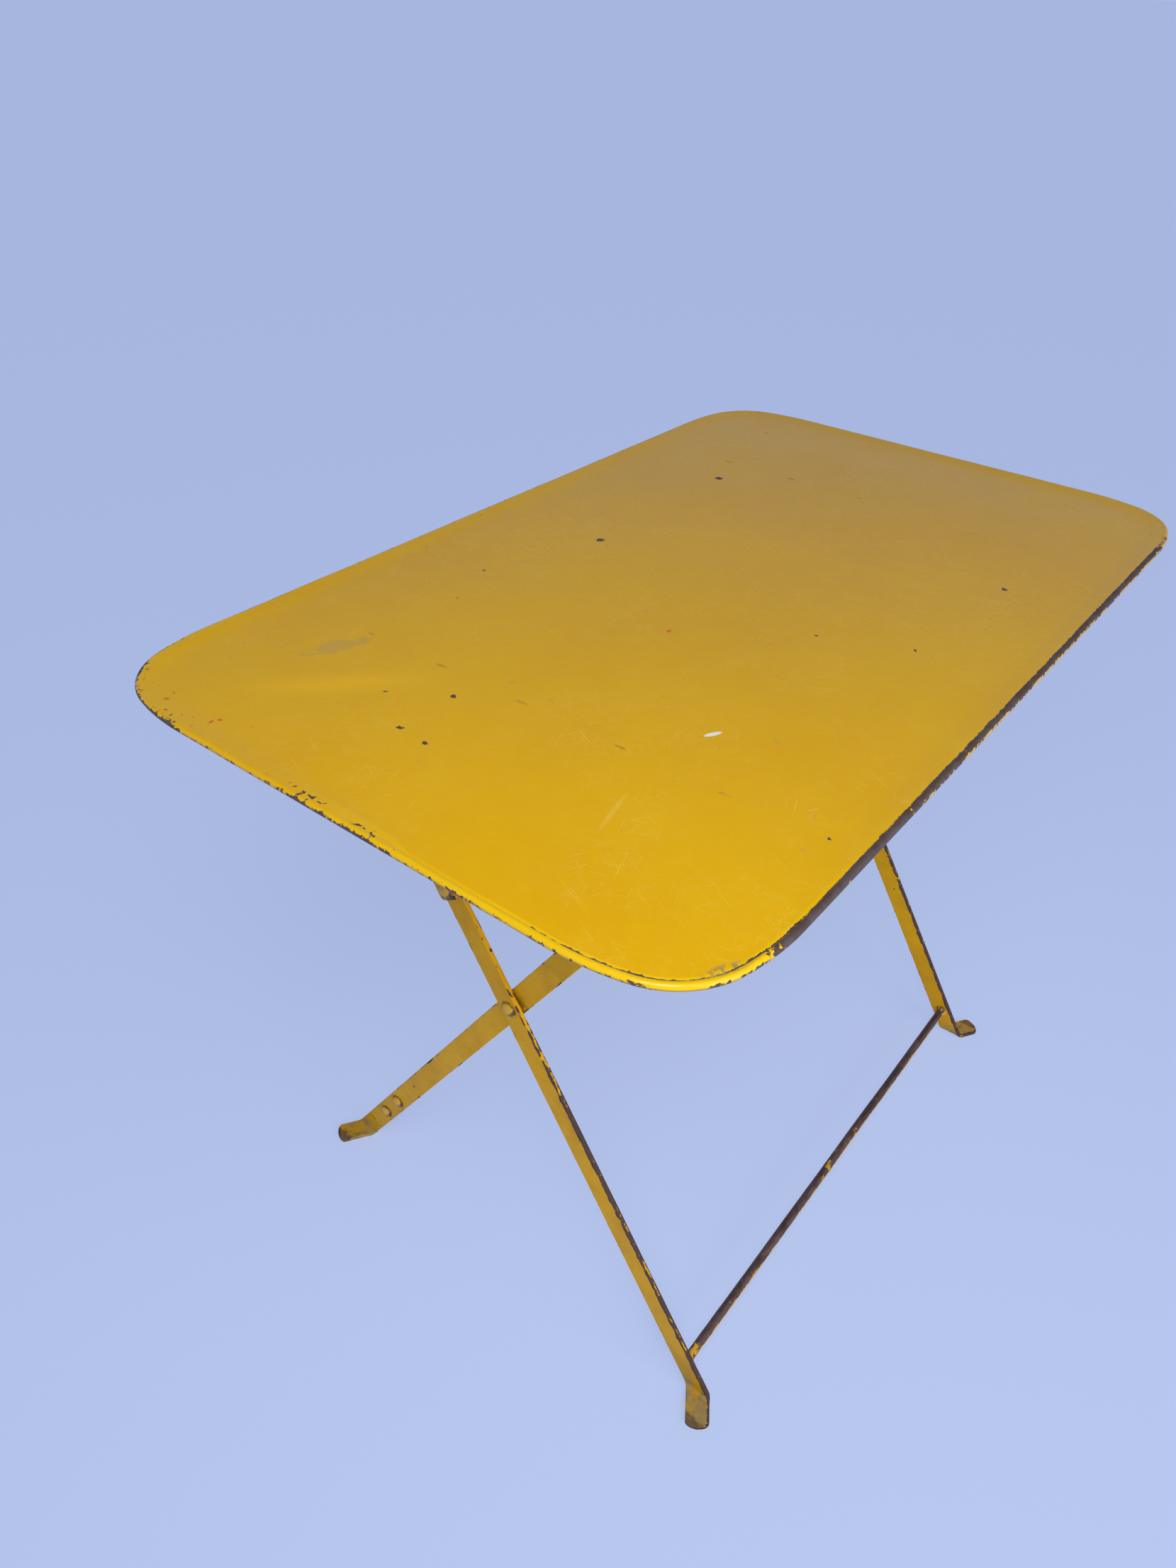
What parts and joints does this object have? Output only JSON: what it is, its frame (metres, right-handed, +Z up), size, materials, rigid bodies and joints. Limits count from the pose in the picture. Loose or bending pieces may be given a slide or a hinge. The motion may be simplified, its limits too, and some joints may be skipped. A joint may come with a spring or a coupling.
{
  "type": "folding garden table",
  "caption": "Rectangular sheet-steel folding garden table with rolled edge and rounded corners on riveted X-shaped flat-bar legs.",
  "frame": {"origin": "on the floor, under the middle of the top", "axes": "+Z up, +X along the long side of the top, +Y along the short side towards the hinges"},
  "size_m": [1, 0.61, 0.74],
  "materials": {
    "top_enamel": "satin golden-yellow enamel, chipped and scratched",
    "leg_enamel": "satin golden-yellow enamel, worn brown along the edges",
    "foot_enamel": "dirty yellow enamel, rusty and scuffed at the pads",
    "rivet_enamel": "painted over, dark grime round the heads",
    "worn_rod": "paint worn through to purple-brown steel",
    "washer_steel": "dark oxidised steel",
    "bare_wire": "plain drawn steel wire, hidden in the edge"
  },
  "bodies": {
    "tabletop": {"top_sheet": "top_enamel", "edge_wire": "bare_wire", "rail_left": "leg_enamel", "rail_right": "leg_enamel", "hinge_rivet_left": "rivet_enamel", "hinge_rivet_right": "rivet_enamel", "hinge_washer_left": "washer_steel", "hinge_washer_right": "washer_steel"},
    "leg_pair_a": {"lower_rod": "worn_rod", "leg_a_left": "leg_enamel", "leg_a_right": "leg_enamel", "hinge_strap_left": "leg_enamel", "hinge_strap_right": "leg_enamel", "strap_rivets_left": "rivet_enamel", "strap_rivets_right": "rivet_enamel", "crossing_rivet_left": "rivet_enamel", "crossing_rivet_right": "rivet_enamel", "crossing_washer_left": "washer_steel", "crossing_washer_right": "washer_steel"},
    "leg_pair_b": {"hook_rod": "worn_rod", "leg_b_left": "leg_enamel", "leg_b_right": "leg_enamel", "foot_b_left": "foot_enamel", "foot_b_right": "foot_enamel", "foot_rivets_left": "rivet_enamel", "foot_rivets_right": "rivet_enamel"}
  },
  "joints": [
    {"name": "leg_fold", "type": "hinge", "parent": "tabletop", "child": "leg_pair_a", "pos_m": [0, 0.194, 0.712], "axis": [1, 0, 0], "range_deg": [0, 30.5]},
    {"name": "scissor", "type": "hinge", "parent": "leg_pair_a", "child": "leg_pair_b", "pos_m": [0, 0, 0.40909], "axis": [1, 0, 0], "range_deg": [-61, 0]}
  ],
  "couplings": [
    {"joint": "scissor", "follows": "leg_fold", "ratio": -2}
  ]
}
